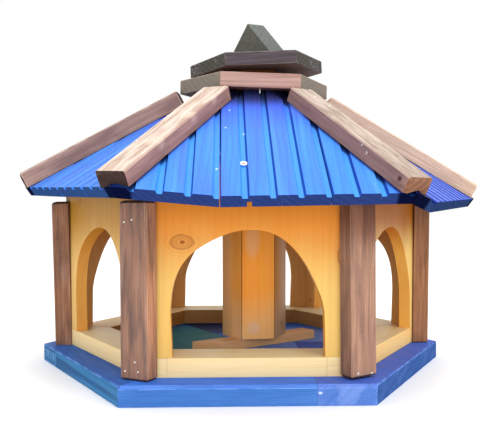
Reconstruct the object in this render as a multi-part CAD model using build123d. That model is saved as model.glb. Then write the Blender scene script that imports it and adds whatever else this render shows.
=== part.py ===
# Six-sided wooden bird feeder: a stained plinth, six arched wall panels on sills,
# corner battens, a six-sided boarded roof with ridge battens, a central seed silo
# and a lift-off lid. Millimetres, +Z up, front face towards -Y, origin at the
# centre of the underside of the plinth.
import math
import os

from build123d import *

os.makedirs("parts", exist_ok=True)

# ---------------------------------------------------------------- dimensions
# plinth
base_r = 252.0  # corner radius
base_t = 20.7
base_round = 3.2  # upper edge of the front side
base_round_side = 1.0

# walls
wall_x = 1.9  # centre of the walls in plan
wall_y = 5.8
wall_a = 190.7  # from that centre to the outer wall face
sill_w = 47.1
sill_h = 19.7
wall_out = {"right": 4.0, "left": 5.6}  # two corners of the walls stand further out
panel_t = 14.0
arch_rise = [  # left jamb, over the crown, to the right jamb: (along the wall, height)
    (-79.5, 85.0),
    (-78.7, 101.0),
    (-75.6, 118.1),
    (-70.7, 130.3),
    (-58.4, 146.2),
    (-48.6, 153.5),
    (-27.8, 164.3),
    (-14.3, 168.8),
    (0.4, 170.6),
    (16.3, 169.3),
    (29.8, 164.2),
    (38.8, 158.0),
    (50.8, 145.4),
    (58.6, 134.0),
    (65.9, 119.9),
    (71.9, 106.0),
    (75.8, 93.0),
    (77.0, 81.6),
]
arch_foot_l = -77.7
arch_foot_r = 78.0
# the hand-cut arches differ: (width as a share of the front one, shift along the wall)
arch_fit = {
    "front": (1.0, 0.0),
    "front_right": (1.11, -0.6),
    "back_right": (1.045, -0.8),
    "back": (1.047, 3.2),
    "back_left": (1.045, -1.0),
    "front_left": (0.99, 0.0),
}


# battens over the corners of the walls and over the hips of the roof
batten_t = 17.2
batten_groove_w = 13.6
batten_groove_d = 4.6
batten_edge = 1.6
batten_end_round = 6.0
post_w = 33.4
post_face_r = 233.5  # from the centre of the walls to the broad outer face
post_top = 200.0
post_fit = {  # degrees to the left at the top, shift along the broad face, shift outwards, extra height
    "right": (-0.4, 0.0, 2.4, 0.0),
    "back_right": (0.0, 0.0, 0.0, 0.0),
    "back_left": (0.3, 0.0, 0.0, 0.0),
    "left": (1.1, 0.0, 3.4, 5.4),
    "front_left": (0.2, 1.6, 0.4, 1.0),
    "front_right": (0.6, -1.0, 0.4, 0.0),
}

# roof
roof_x = 12.6  # centre of the roof in plan, at height 200
roof_y = -1.3
roof_turn = 0.74  # degrees about the vertical
roof_tilt_x = 0.88  # degrees, front side down
roof_tilt_y = 1.32  # degrees, right side down
roof_apex = 371.9  # point where the upper surfaces of the six slopes would meet
roof_slope = 32.8
roof_t = 12.2
# the eaves of each slope: length down the slope at the left corner, then the joint between the
# first two boards (along the eaves, length down the slope), then the right corner
eaves = {
    "front": (293.6, -43.4, 305.1, 291.6),
    "front_right": (292.7, -119.2, 306.8, 296.3),
    "back_right": (296.3, 22.0, 299.5, 293.0),
    "back": (293.0, 40.0, 303.0, 293.5),
    "back_left": (293.5, -64.0, 301.0, 294.0),
    "front_left": (293.6, -38.0, 294.6, 293.6),
}
roof_open_v = 50.0  # opening around the silo
groove_pitch = 26.0
groove_w_top = 8.0
groove_w_bot = 4.6
groove_d = 3.4
relief_w = 4.8  # one groove in the underside of each slope
relief_d = 5.2
joint_w = 0.8

# ridge battens
ridge_l0 = 101.0  # along the hip from the apex
ridge_l1 = 318.6
ridge_set = {  # width, top face above the hip line, shift to the side, degrees off the hip, skew of the lower end, extra length
    "right": (30.0, 14.6, 1.8, -0.25, 0.0, 3.0),
    "back_right": (31.0, 13.2, 0.0, 0.3, 2.0, 1.0),
    "back_left": (31.4, 13.0, 0.5, 0.0, -2.0, 0.0),
    "left": (30.2, 16.6, -0.4, 0.0, 0.0, 5.0),
    "front_left": (33.4, 12.3, -0.8, -0.38, 5.0, 3.2),
    "front_right": (31.2, 12.8, 2.1, 0.0, 0.0, 2.0),
}

# plates at the top
plate_r = 93.5
plate_t = 17.3
plate_pos = (15.5, -0.1, 333.9)
plate_tilt = (1.43, 1.27, 2.74)
lid_r = 83.6
lid_t = 15.5
lid_pos = (18.9, -0.2, 360.6)
lid_tilt = (0.17, -2.7, 1.19)
plug_a = 20.0
plug_h = 16.0
knob_h = 47.8

# silo
silo_x = 15.5
silo_y = -8.0
silo_r = 40.4
silo_wall = 9.0
silo_turn = 5.3
bearer_t = 11.6

SIDES = {
    "front": 270,
    "front_right": 330,
    "back_right": 30,
    "back": 90,
    "back_left": 150,
    "front_left": 210,
}
CORNERS = {
    "right": 0,
    "back_right": 60,
    "back_left": 120,
    "left": 180,
    "front_left": 240,
    "front_right": 300,
}


# ------------------------------------------------------------------- helpers
def pol(r, deg):
    a = math.radians(deg)
    return (r * math.cos(a), r * math.sin(a))


def prism(points, z0, z1):
    return Pos(0, 0, z0) * extrude(make_face(Polyline(*points, close=True)), z1 - z0)


def hexagon(r, z0, z1, turn=0.0):
    return prism([pol(r, 60 * k + turn) for k in range(6)], z0, z1)


def face_frame(deg, dist, z=0.0):
    # x to the right as seen from outside, y up, z outwards
    n = Vector(*pol(1.0, deg), 0)
    r = Vector(-n.Y, n.X, 0)
    return Plane(origin=(n.X * dist, n.Y * dist, z), x_dir=r, z_dir=n)


def wedge(deg, r, z0, z1, half=30.0):
    return prism([(0, 0), pol(r, deg - half), pol(r, deg + half)], z0, z1)


def save(shape, node):
    export_step(shape, f"parts/{node}.step")


# -------------------------------------------------------------------- plinth
# three rhombic boards that meet at the centre
plinth = hexagon(base_r, 0, base_t)
rim = plinth.edges().group_by(Axis.Z)[-1].sort_by(Axis.Y)
plinth = chamfer(rim[1:], base_round_side)
front_rim = plinth.edges().group_by(Axis.Z)[-1].sort_by(Axis.Y)[:1]
plinth = chamfer(front_rim, base_round)
for node, mid in {"base_board_left": 180, "base_board_front": 300, "base_board_back": 60}.items():
    cut = prism(
        [(0, 0), pol(base_r * 1.3, mid - 60), pol(base_r * 2.6, mid), pol(base_r * 1.3, mid + 60)],
        -5,
        base_t + 5,
    )
    save(plinth & cut, node)

def place_walls(shape):
    return Pos(wall_x, wall_y, 0) * shape


def wall_corner(deg, inset=0.0):
    # a corner of the wall outline, or of the line a given depth inside it
    r = (wall_a - inset) / math.cos(math.radians(30))
    extra = {0: wall_out["right"], 180: wall_out["left"]}.get(deg % 360, 0.0)
    return pol(r + extra, deg)


# --------------------------------------------------------------------- sills
sill_z1 = base_t + sill_h
for side, az in SIDES.items():
    sill = prism(
        [wall_corner(az - 30), wall_corner(az + 30), wall_corner(az + 30, sill_w), wall_corner(az - 30, sill_w)],
        base_t,
        sill_z1,
    )
    save(place_walls(sill), f"sill_{side}")


# ---------------------------------------------------------------------- roof
def place_roof(shape):
    turn = Rot(roof_tilt_x, 0, 0) * Rot(0, roof_tilt_y, 0) * Rot(0, 0, roof_turn)
    return Pos(roof_x, roof_y, 200) * turn * Pos(0, 0, -200) * shape


def place_plate(shape):
    a, b, c = plate_tilt
    return Pos(*plate_pos) * Rot(a, 0, 0) * Rot(0, b, 0) * Rot(0, 0, c) * shape


def place_lid(shape):
    a, b, c = lid_tilt
    return Pos(*lid_pos) * Rot(a, 0, 0) * Rot(0, b, 0) * Rot(0, 0, c) * shape


th = math.radians(roof_slope)
hip = math.atan(math.tan(th) * math.cos(math.radians(30)))


def slope_frame(az):
    # x to the right as seen from outside, y up the slope, z out of the slope
    n = Vector(*pol(1.0, az), 0)
    r = Vector(-n.Y, n.X, 0)
    return Plane(
        origin=(0, 0, roof_apex),
        x_dir=r,
        z_dir=(n.X * math.sin(th), n.Y * math.sin(th), math.cos(th)),
    )


def half_u(s):
    # half the width of a slope at the length s down it
    return s * math.cos(th) * math.tan(math.radians(30))


def slope_boards(side, az):
    frame = slope_frame(az)
    ext = 30.0
    s_l, u_k, s_k, s_r = eaves[side]
    u_l, u_r = -half_u(s_l), half_u(s_r)
    kl = (s_k - s_l) / (u_k - u_l)
    kr = (s_k - s_r) / (u_r - u_k)
    outline = [
        (u_l - ext, -(s_l - kl * ext)),
        (u_k, -s_k),
        (u_r + ext, -(s_r - kr * ext)),
        (u_r + ext, -roof_open_v / math.cos(th)),
        (u_l - ext, -roof_open_v / math.cos(th)),
    ]
    slab = extrude(make_face(Polyline(*outline, close=True)), -roof_t)
    # grooves that run down the slope
    groove = Polyline(
        (-groove_w_top / 2, 0.01),
        (-groove_w_bot / 2, -groove_d),
        (groove_w_bot / 2, -groove_d),
        (groove_w_top / 2, 0.01),
        (groove_w_top / 2, 2),
        (-groove_w_top / 2, 2),
        close=True,
    )
    section = Plane(origin=(0, 0, 0), x_dir=(1, 0, 0), z_dir=(0, -1, 0))
    cutter = extrude(section * make_face(groove), s_k + 20)
    first = u_k - 2.8
    n_lo = math.ceil((u_l + 2 - first) / groove_pitch)
    n_hi = math.floor((u_r - 2 - first) / groove_pitch)
    slab -= [Pos(first + i * groove_pitch, 0, 0) * cutter for i in range(n_lo, n_hi + 1)]
    # the joints between the boards, and the groove in the underside
    for i in (-4, 0, 4):
        u = u_k + i * groove_pitch
        if u_l + 30 < u < u_r - 30 or i == 0:
            slab -= Pos(u, -s_k / 2, -roof_t / 2) * Box(joint_w, s_k * 1.2, roof_t + 4)
    u = u_k + 27.5
    slab -= Pos(u, -s_k / 2, -roof_t + relief_d / 2 - 1) * Box(relief_w, s_k * 1.2, relief_d + 2)
    slab = frame.location * slab
    slab = slab & wedge(az, base_r * 1.6, 0, roof_apex)
    slab = place_roof(slab) - place_plate(Pos(0, 0, 100) * Box(600, 600, 200))
    return slab


for side, az in SIDES.items():
    save(slope_boards(side, az), f"roof_{side}")

# the solid space below the undersides of the slopes, to which the walls are cut
s_deep = roof_t / math.cos(th)
v_out = 330.0
pts = [Vector(*pol(v_out / math.cos(math.radians(30)), 60 * k), roof_apex - s_deep - v_out * math.tan(th)) for k in range(6)]
tip = Vector(0, 0, roof_apex - s_deep)
low = -400.0
faces = []
for k in range(6):
    a, b = pts[k], pts[(k + 1) % 6]
    faces.append(Face(Wire.make_polygon([a, b, tip], close=True)))
    al, bl = Vector(a.X, a.Y, low), Vector(b.X, b.Y, low)
    faces.append(Face(Wire.make_polygon([al, bl, b, a], close=True)))
faces.append(Face(Wire.make_polygon([Vector(p.X, p.Y, low) for p in pts], close=True)))
under_roof = place_roof(Solid(Shell(faces)))

# ------------------------------------------------------------ arched panels
for side, az in SIDES.items():
    panel = prism(
        [wall_corner(az - 30), wall_corner(az + 30), wall_corner(az + 30, panel_t), wall_corner(az - 30, panel_t)],
        sill_z1,
        300,
    )
    frame = face_frame(az, wall_a + 8)
    k, shift = arch_fit[side]
    rise = [(u * k + shift, z) for u, z in arch_rise]
    foot_l, foot_r = (arch_foot_l * k + shift, sill_z1 - 5), (arch_foot_r * k + shift, sill_z1 - 5)
    outline = Line(foot_l, rise[0]) + Spline(*rise) + Line(rise[-1], foot_r) + Line(foot_r, foot_l)
    opening = frame.location * extrude(make_face(outline), -(panel_t + 18))
    panel = place_walls(panel - opening) & under_roof
    save(panel, f"wall_{side}")


# ----------------------------------------------------------- corner battens
def batten(length, width, thick):
    # lies along x from 0, broad face up at z 0, groove in the face below
    w, e, c = width / 2, batten_edge, batten_end_round * 0.5
    section = make_face(
        Polyline((-w, -thick), (-w, -e), (-w + e, 0), (w - e, 0), (w, -e), (w, -thick), close=True)
    )
    body = extrude(Plane(origin=(0, 0, 0), x_dir=(0, 1, 0), z_dir=(1, 0, 0)) * section, length)
    side = Polyline(
        (0, -thick - 1), (0, -2 * c), (0.3 * c, -0.8 * c), (c, 0), (c, 1),
        (length - c, 1), (length - c, 0), (length - 0.3 * c, -0.8 * c), (length, -2 * c), (length, -thick - 1),
        close=True,
    )
    body &= extrude(Plane(origin=(0, w + 1, 0), x_dir=(1, 0, 0), z_dir=(0, -1, 0)) * make_face(side), 2 * w + 2)
    plan = Polyline(
        (0, -w + c), (c, -w), (length - c, -w), (length, -w + c),
        (length, w - c), (length - c, w), (c, w), (0, w - c),
        close=True,
    )
    body &= Pos(0, 0, -thick - 1) * extrude(make_face(plan), thick + 2)
    r = ((batten_groove_w / 2) ** 2 + batten_groove_d**2) / (2 * batten_groove_d)
    body -= Pos(length / 2, 0, -batten_t + batten_groove_d - r) * Rot(0, 90, 0) * Cylinder(r, length + 2)
    return body


walls_outer = place_walls(prism([wall_corner(60 * k) for k in range(6)], -10, 400))
for corner, az in CORNERS.items():
    lean, shift, out, extra = post_fit[corner]
    n = Vector(*pol(1.0, az), 0)
    r = Vector(-n.Y, n.X, 0)
    frame = Plane(
        origin=(n.X * (post_face_r + out) + r.X * shift, n.Y * (post_face_r + out) + r.Y * shift, base_t),
        x_dir=(0, 0, 1),
        z_dir=n,
    )
    post = frame.location * batten(post_top + extra - base_t, post_w, batten_t + out)
    post = place_walls(Pos(0, 0, base_t) * Rot(0, -lean, 0) * Pos(0, 0, -base_t) * post)
    post = post - walls_outer - Box(700, 700, 2 * base_t)
    save(post, f"post_{corner}")

# ------------------------------------------------------------ ridge battens
for corner, az in CORNERS.items():
    ridge_w, ridge_top, shift, swing, skew, more = ridge_set[corner]
    ridge_l = ridge_l1 - ridge_l0 + more
    a = math.radians(az + swing)
    down = Vector(math.cos(a) * math.cos(hip), math.sin(a) * math.cos(hip), -math.sin(hip))
    up = Vector(math.cos(a) * math.sin(hip), math.sin(a) * math.sin(hip), math.cos(hip))
    lat = Vector(-math.sin(a), math.cos(a), 0)
    o = Vector(0, 0, roof_apex) + down * ridge_l0 + up * ridge_top + lat * shift
    frame = Plane(origin=o, x_dir=down, z_dir=up)
    cap = frame.location * batten(ridge_l, ridge_w, ridge_top + 6.6)
    # the lower end is sawn off a little out of square
    if skew:
        saw = Pos(ridge_l + 30 - 0.5 * ridge_w * math.sin(math.radians(abs(skew))), 0, 0)
        cap -= frame.location * (saw * Rot(0, 0, skew) * Box(60, 90, 90))
    # the legs stand on the slopes on both sides of the hip
    roof_body = slope_frame(az - 30).location * (Pos(0, -250, -60) * Box(900, 900, 120))
    roof_body &= slope_frame(az + 30).location * (Pos(0, -250, -60) * Box(900, 900, 120))
    cap -= roof_body
    save(place_roof(cap), f"ridge_{corner}")

# ------------------------------------------------------- plates, lid and knob
silo_out = Pos(silo_x, silo_y, 0) * hexagon(silo_r, 0, 500, silo_turn)
silo_clear = Pos(silo_x, silo_y, 0) * hexagon(silo_r + 1.5, 0, 500, silo_turn)

plate = hexagon(plate_r, 0, plate_t)
plate = chamfer(plate.edges().group_by(Axis.Z)[-1], 0.8)
save(place_plate(plate) - silo_clear, "cap_plate")

lid = hexagon(lid_r, 0, lid_t)
lid = chamfer(lid.edges().group_by(Axis.Z)[-1], 1.0)
save(place_lid(lid), "lid_board")

plug = Pos(silo_x - lid_pos[0], silo_y - lid_pos[1], 0) * hexagon(
    plug_a / math.cos(math.radians(30)), -plug_h, 0, silo_turn
)
save(place_lid(plug), "lid_plug")

# the knob is an offcut with a triangular face: front triangle and its copy set back
k1 = [(-36.4, -10.0, 0), (26.0, -13.0, 0), (-9.4, -11.0, knob_h)]
d = (21.0, 11.0, 0)
k1 = [Vector(x, y, z) for x, y, z in k1]
k2 = [Vector(p.X + d[0], p.Y + d[1], p.Z + d[2]) for p in k1]
knob = Solid(
    Shell(
        [
            Face(Wire.make_polygon(k1, close=True)),
            Face(Wire.make_polygon(k2, close=True)),
            Face(Wire.make_polygon([k1[0], k1[1], k2[1], k2[0]], close=True)),
            Face(Wire.make_polygon([k1[1], k1[2], k2[2], k2[1]], close=True)),
            Face(Wire.make_polygon([k1[2], k1[0], k2[0], k2[2]], close=True)),
        ]
    )
)
save(place_lid(Pos(0, 0, lid_t) * knob), "lid_knob")

# ---------------------------------------------------------------------- silo
silo_z0 = base_t + bearer_t
silo_in = silo_r - silo_wall / math.cos(math.radians(30))
above = place_lid(Pos(0, 0, 99.9) * Box(400, 400, 200))
staves = []
for k in range(6):
    a0, a1 = 60 * k + silo_turn, 60 * k + 60 + silo_turn
    stave = prism([pol(silo_r, a0), pol(silo_r, a1), pol(silo_in, a1), pol(silo_in, a0)], silo_z0, 420)
    staves.append((Pos(silo_x, silo_y, 0) * stave - above).solid())
save(Compound(staves), "silo_tube")

# bearer: a flat batten on the floor under the silo, both ends cut on the slant
bearer = prism(
    [(-61.7, -53.5), (-15.5, -53.3), (96.2, 22.8), (81.5, 37.5)],
    base_t,
    base_t + bearer_t,
)
save(bearer, "silo_bearer")
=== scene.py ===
import math
import random

import bmesh
import bpy
import numpy as np
from mathutils import Matrix, Vector, noise


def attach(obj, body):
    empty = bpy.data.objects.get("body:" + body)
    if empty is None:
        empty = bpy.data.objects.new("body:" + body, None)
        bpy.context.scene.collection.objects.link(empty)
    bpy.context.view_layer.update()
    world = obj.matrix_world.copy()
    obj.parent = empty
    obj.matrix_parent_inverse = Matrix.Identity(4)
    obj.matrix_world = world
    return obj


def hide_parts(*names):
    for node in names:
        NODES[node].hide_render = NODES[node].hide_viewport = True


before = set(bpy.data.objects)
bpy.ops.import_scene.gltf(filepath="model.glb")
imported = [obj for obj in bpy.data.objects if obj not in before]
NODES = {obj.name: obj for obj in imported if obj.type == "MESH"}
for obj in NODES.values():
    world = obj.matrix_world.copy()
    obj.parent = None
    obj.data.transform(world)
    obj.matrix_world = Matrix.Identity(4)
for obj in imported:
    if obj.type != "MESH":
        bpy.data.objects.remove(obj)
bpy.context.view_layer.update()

scene = bpy.context.scene
scene.view_settings.view_transform = "Standard"
scene.view_settings.look = "None"

# --------------------------------------------------------------- dimensions, metres
MM = 0.001
WALL_C = Vector((1.9, 5.8, 0)) * MM
WALL_A = 190.7 * MM
SILL_Z0, SILL_Z1 = 20.7 * MM, 40.4 * MM
ROOF_C = Vector((12.6, -1.3, 200.0)) * MM
ROOF_TURN = (math.radians(0.88), math.radians(1.32), math.radians(0.74))
APEX = 371.9 * MM
SLOPE = math.radians(32.8)
ROOF_T = 12.2 * MM
PLATE_POS, PLATE_TILT = Vector((15.5, -0.1, 333.9)) * MM, [math.radians(a) for a in (1.43, 1.27, 2.74)]
LID_POS, LID_TILT = Vector((18.9, -0.2, 360.6)) * MM, [math.radians(a) for a in (0.17, -2.7, 1.19)]
SILO_C = Vector((15.5, -8.0, 0)) * MM
HIP = math.atan(math.tan(SLOPE) * math.cos(math.radians(30)))
SIDES = {"front": 270, "front_right": 330, "back_right": 30, "back": 90, "back_left": 150, "front_left": 210}
CORNERS = {"right": 0, "back_right": 60, "back_left": 120, "left": 180, "front_left": 240, "front_right": 300}
KINK = {"front": -43.4, "front_right": -119.2, "back_right": 22.0, "back": 40.0, "back_left": -64.0, "front_left": -38.0}


def rot3(a):
    return Matrix.Rotation(a[0], 4, "X") @ Matrix.Rotation(a[1], 4, "Y") @ Matrix.Rotation(a[2], 4, "Z")


ROOF_M = Matrix.Translation(ROOF_C) @ rot3(ROOF_TURN) @ Matrix.Translation((0, 0, -0.2))
PLATE_M = Matrix.Translation(PLATE_POS) @ rot3(PLATE_TILT)
LID_M = Matrix.Translation(LID_POS) @ rot3(LID_TILT)


def unit(deg):
    a = math.radians(deg)
    return Vector((math.cos(a), math.sin(a), 0))


def frame_m(origin, x, z):
    x, z = x.normalized(), z.normalized()
    y = z.cross(x)
    m = Matrix.Identity(4)
    for i in range(3):
        m[i][0], m[i][1], m[i][2], m[i][3] = x[i], y[i], z[i], origin[i]
    return m


def slope_m(az):
    # x along the eaves, y up the slope, z out of it, origin at the apex
    n = unit(az)
    r = Vector((-n.y, n.x, 0))
    up = Vector((n.x * math.sin(SLOPE), n.y * math.sin(SLOPE), math.cos(SLOPE)))
    return ROOF_M @ frame_m(Vector((0, 0, APEX)), r, up)


# ------------------------------------------------------------------------ colour
def lin(r, g, b):
    return tuple(((c / 255) / 12.92 if c <= 10.3 else ((c / 255 + 0.055) / 1.055) ** 2.4) for c in (r, g, b)) + (1.0,)


class Tree:
    def __init__(self, name):
        self.mat = bpy.data.materials.new(name)
        self.mat.use_nodes = True
        self.nt = self.mat.node_tree
        self.nt.nodes.clear()
        self.out = self.n("ShaderNodeOutputMaterial")
        self.bsdf = self.n("ShaderNodeBsdfPrincipled")
        self.link(self.bsdf.outputs[0], self.out.inputs[0])

    def n(self, kind, **props):
        node = self.nt.nodes.new(kind)
        for k, v in props.items():
            setattr(node, k, v)
        return node

    def link(self, a, b):
        self.nt.links.new(a, b)

    def put(self, socket, value):
        if hasattr(value, "links"):
            self.link(value, socket)
        else:
            socket.default_value = value

    def attr(self, name, out="Vector"):
        return self.n("ShaderNodeAttribute", attribute_name=name).outputs[out]

    def mapping(self, vec, scale=(1, 1, 1), loc=(0, 0, 0), rot=(0, 0, 0)):
        m = self.n("ShaderNodeMapping")
        self.link(vec, m.inputs["Vector"])
        m.inputs["Location"].default_value = loc
        m.inputs["Rotation"].default_value = rot
        m.inputs["Scale"].default_value = scale
        return m.outputs[0]

    def noise(self, vec, scale=1.0, detail=2.0, rough=0.5, distort=0.0, colour=False):
        t = self.n("ShaderNodeTexNoise")
        self.link(vec, t.inputs["Vector"])
        t.inputs["Scale"].default_value = scale
        t.inputs["Detail"].default_value = detail
        t.inputs["Roughness"].default_value = rough
        t.inputs["Distortion"].default_value = distort
        return t.outputs["Color" if colour else "Fac"]

    def math(self, op, a, b=0.0, clamp=False):
        m = self.n("ShaderNodeMath", operation=op, use_clamp=clamp)
        self.put(m.inputs[0], a)
        self.put(m.inputs[1], b)
        return m.outputs[0]

    def vmath(self, op, a, b=(0, 0, 0)):
        m = self.n("ShaderNodeVectorMath", operation=op)
        self.put(m.inputs[0], a)
        if op == "SCALE":
            self.put(m.inputs["Scale"], b)
        elif op != "LENGTH":
            self.put(m.inputs[1], b)
        return m.outputs["Value" if op in ("LENGTH", "DISTANCE", "DOT_PRODUCT") else "Vector"]

    def ramp(self, fac, lo, hi, a=0.0, b=1.0, smooth=True):
        m = self.n("ShaderNodeMapRange", interpolation_type="SMOOTHSTEP" if smooth else "LINEAR")
        self.put(m.inputs["Value"], fac)
        m.inputs["From Min"].default_value = lo
        m.inputs["From Max"].default_value = hi
        m.inputs["To Min"].default_value = a
        m.inputs["To Max"].default_value = b
        return m.outputs["Result"]

    def mix(self, fac, a, b, blend="MIX"):
        m = self.n("ShaderNodeMix", data_type="RGBA", blend_type=blend)
        self.put(m.inputs[0], fac)
        self.put(m.inputs[6], a)
        self.put(m.inputs[7], b)
        return m.outputs[2]

    def xyz(self, vec):
        s = self.n("ShaderNodeSeparateXYZ")
        self.link(vec, s.inputs[0])
        return s.outputs

    def wave(self, vec, scale, distort=0.0, detail=2.0, profile="SIN"):
        w = self.n("ShaderNodeTexWave", wave_type="RINGS", rings_direction="X", wave_profile=profile)
        self.link(vec, w.inputs["Vector"])
        w.inputs["Scale"].default_value = scale
        w.inputs["Distortion"].default_value = distort
        w.inputs["Detail"].default_value = detail
        w.inputs["Detail Scale"].default_value = 2.0
        return w.outputs["Fac"]


def wood(
    name,
    light,
    dark,
    late=0.5,
    rings=75.0,
    fibre=0.25,
    blotch=0.2,
    blotch_col=None,
    blotch_scale=(7.0, 26.0),
    end=None,
    end_mix=0.8,
    end_rings=0.5,
    wear=None,
    wear_mix=0.0,
    knots=(),
    painted_height_shading=None,
    painted_height_shading2=None,
    dots=None,
    streak_col=None,
    streak=0.0,
    streak_scale=(2.2, 120.0),
    top=None,
    top_mix=0.85,
    top_streak=None,
    groove=None,
    rough=0.6,
    spec=0.12,
    bump=0.25,
    tilt=(0.0, 0.02, 0.015),
    painted_face_lighting=(),
    zones=(),
    spots=(),
    painted_hip_shadow=None,
    painted_reveal_shade=None,
):
    """Wood as a solid texture in the board's own coordinates: x along the grain, y across, z out of the board."""
    t = Tree(name)
    bc = t.attr("bc")
    lc = t.attr("lc")
    # slow waver of the grain
    wav = t.noise(t.mapping(bc, scale=(4.0, 22.0, 22.0)), detail=2.0, colour=True)
    wav = t.vmath("SCALE", t.vmath("SUBTRACT", wav, (0.5, 0.5, 0.5)), 0.010)
    warped = t.vmath("ADD", bc, wav)
    ring = t.wave(t.mapping(warped, rot=tilt), rings, profile="SAW")
    ring = t.math("POWER", ring, 2.4)
    # pores and fibres
    fib = t.noise(t.mapping(bc, scale=(22.0, 900.0, 900.0)), detail=3.0, rough=0.6)
    mid = t.noise(t.mapping(warped, scale=(5.0, 150.0, 150.0)), detail=2.0)
    bs = blotch_scale
    big = t.noise(t.mapping(bc, scale=(bs[0], bs[1], bs[1]), loc=(3.1, 1.7, 0.4)), detail=3.0)
    latewood = t.math("MULTIPLY", ring, t.ramp(mid, 0.25, 0.7, 0.45, 1.0))
    col = t.mix(t.math("MULTIPLY", latewood, late, clamp=True), light, dark)
    col = t.mix(t.math("MULTIPLY", t.ramp(big, 0.42, 0.68), blotch), col, blotch_col or dark)
    if streak_col is not None:
        ss = streak_scale
        st = t.noise(t.mapping(bc, scale=(ss[0], ss[1], ss[1]), loc=(0, 9.0, 2.0)), detail=2.0)
        col = t.mix(t.math("MULTIPLY", t.ramp(st, 0.53, 0.66), streak), col, streak_col)
    if top is not None:
        # the upper face in a colour of its own: weathered, and on the sills painted paler: painted light
        tm = t.math("MULTIPLY", t.attr("top", "Fac"), top_mix)
        tn = t.noise(t.mapping(warped, scale=(18.0, 150.0, 150.0), loc=(1.0, 2.0, 3.0)), detail=4.0, rough=0.65)
        tb = t.noise(t.mapping(bc, scale=(26.0, 90.0, 90.0), loc=(4.0, 2.0, 3.0)), detail=3.0)
        tc = t.mix(t.ramp(tn, 0.36, 0.68), top, top_streak or dark)
        tc = t.mix(t.math("MULTIPLY", t.ramp(tb, 0.5, 0.66), 0.55), tc, top)
        col = t.mix(tm, col, tc)
    if groove is not None:
        gz = t.xyz(lc)[2]
        col = t.mix(t.ramp(gz, -0.0024, -0.0008, groove[1], 0.0), col, groove[0])
    fib_c = t.ramp(fib, 0.32, 0.68, 1.0 - fibre, 1.0 + fibre * 0.6, smooth=False)
    col = t.mix(1.0, col, grey(t, fib_c), "MULTIPLY")
    for g in (painted_height_shading, painted_height_shading2):
        if g is not None:
            # painted light and shade that change with height, standing in for the shade under eaves, plate and lid and
            # the light low down: (z0, z1, factor on the colour)
            z = t.xyz(t.attr("pc"))[2]
            zn = t.noise(t.mapping(bc, scale=(6.0, 30.0, 30.0), loc=(7.0, 1.0, 0.0)), detail=2.0)
            z = t.math("ADD", z, t.math("MULTIPLY", t.math("SUBTRACT", zn, 0.5), 0.35 * abs(g[1] - g[0])))
            f = t.ramp(z, g[0], g[1]) if g[1] > g[0] else t.ramp(z, g[1], g[0], 1.0, 0.0)
            col = t.mix(1.0, col, t.mix(f, (1.0, 1.0, 1.0, 1.0), tuple(g[2]) + (1.0,)), "MULTIPLY")
    for kx, ky, ra, rb, depth, tint in knots:
        # a knot in the face: rings around (kx, ky) in the piece's own plan
        d = t.mapping(lc, scale=(1 / ra, 1 / rb, 0.0), loc=(-kx / ra, -ky / rb, 0.0))
        wob = t.noise(t.mapping(lc, scale=(110, 110, 110)), detail=2.0)
        dist = t.math("ADD", t.vmath("LENGTH", d), t.math("MULTIPLY", t.math("SUBTRACT", wob, 0.5), 0.45))
        rr = t.math("ADD", t.math("MULTIPLY", t.math("SINE", t.math("MULTIPLY", dist, 13.0)), 0.5), 0.5)
        body = t.ramp(dist, 0.75, 1.05, 1.0, 0.0)
        rim = t.math("MULTIPLY", t.ramp(dist, 0.72, 0.95), t.ramp(dist, 0.98, 1.3, 1.0, 0.0))
        core = t.ramp(dist, 0.12, 0.42, 1.0, 0.0)
        halo = t.ramp(dist, 1.0, 2.6, 1.0, 0.0)
        f = t.math("ADD", t.math("MULTIPLY", body, t.math("ADD", t.math("MULTIPLY", rr, 0.22), 0.12)), t.math("MULTIPLY", rim, 0.5))
        f = t.math("ADD", f, t.math("ADD", t.math("MULTIPLY", core, 0.6), t.math("MULTIPLY", t.math("MULTIPLY", halo, rr), 0.16)))
        col = t.mix(t.math("MULTIPLY", f, depth, clamp=True), col, tint)
    if painted_face_lighting:
        # painted light and shade by the way a face looks: lit sides lighter, undersides and inner sides darker:
        # (direction, from, to, factor)
        fn = t.attr("fn")
        for d, lo, hi, f in painted_face_lighting:
            k = t.ramp(t.vmath("DOT_PRODUCT", fn, tuple(d)), lo, hi)
            col = t.mix(1.0, col, t.mix(k, (1.0, 1.0, 1.0, 1.0), tuple(f) + (1.0,)), "MULTIPLY")
    if painted_reveal_shade is not None:
        # the edge faces of the board, as at the reveals of the openings, are darkened: painted shade: (normal of the
        # board, factor)
        k = t.ramp(t.math("ABSOLUTE", t.vmath("DOT_PRODUCT", t.attr("fn"), tuple(painted_reveal_shade[0]))), 0.3, 0.6, 1.0, 0.0)
        col = t.mix(1.0, col, t.mix(k, (1.0, 1.0, 1.0, 1.0), tuple(painted_reveal_shade[1]) + (1.0,)), "MULTIPLY")
    if end is not None:
        eg = t.attr("eg", "Fac")
        er = t.wave(t.mapping(warped, rot=tilt), rings * 0.8, profile="SIN")
        ec = t.mix(t.math("MULTIPLY", er, end_rings), end, tuple(c * 0.5 for c in end[:3]) + (1.0,))
        col = t.mix(t.math("MULTIPLY", eg, end_mix), col, ec)
    if wear is not None:
        ed = t.attr("edge", "Fac")
        wn = t.noise(t.mapping(bc, scale=(60, 140, 140)), detail=3.0)
        f = t.math("MULTIPLY", t.math("MULTIPLY", ed, t.ramp(wn, 0.38, 0.62)), wear_mix, clamp=True)
        col = t.mix(f, col, wear)
    if dots is not None:
        # small worn specks: (colour, threshold, amount)
        dc, th, amount = dots
        sp = t.noise(t.mapping(bc, scale=(380, 520, 520)), detail=1.0)
        zone = t.noise(t.mapping(bc, scale=(12, 34, 34), loc=(5.0, 0, 0)), detail=2.0)
        f = t.math("MULTIPLY", t.math("MULTIPLY", t.ramp(sp, th, th + 0.05), t.ramp(zone, 0.42, 0.6)), amount, clamp=True)
        col = t.mix(f, col, dc)
    for d, z0, z1, f in zones:
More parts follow.
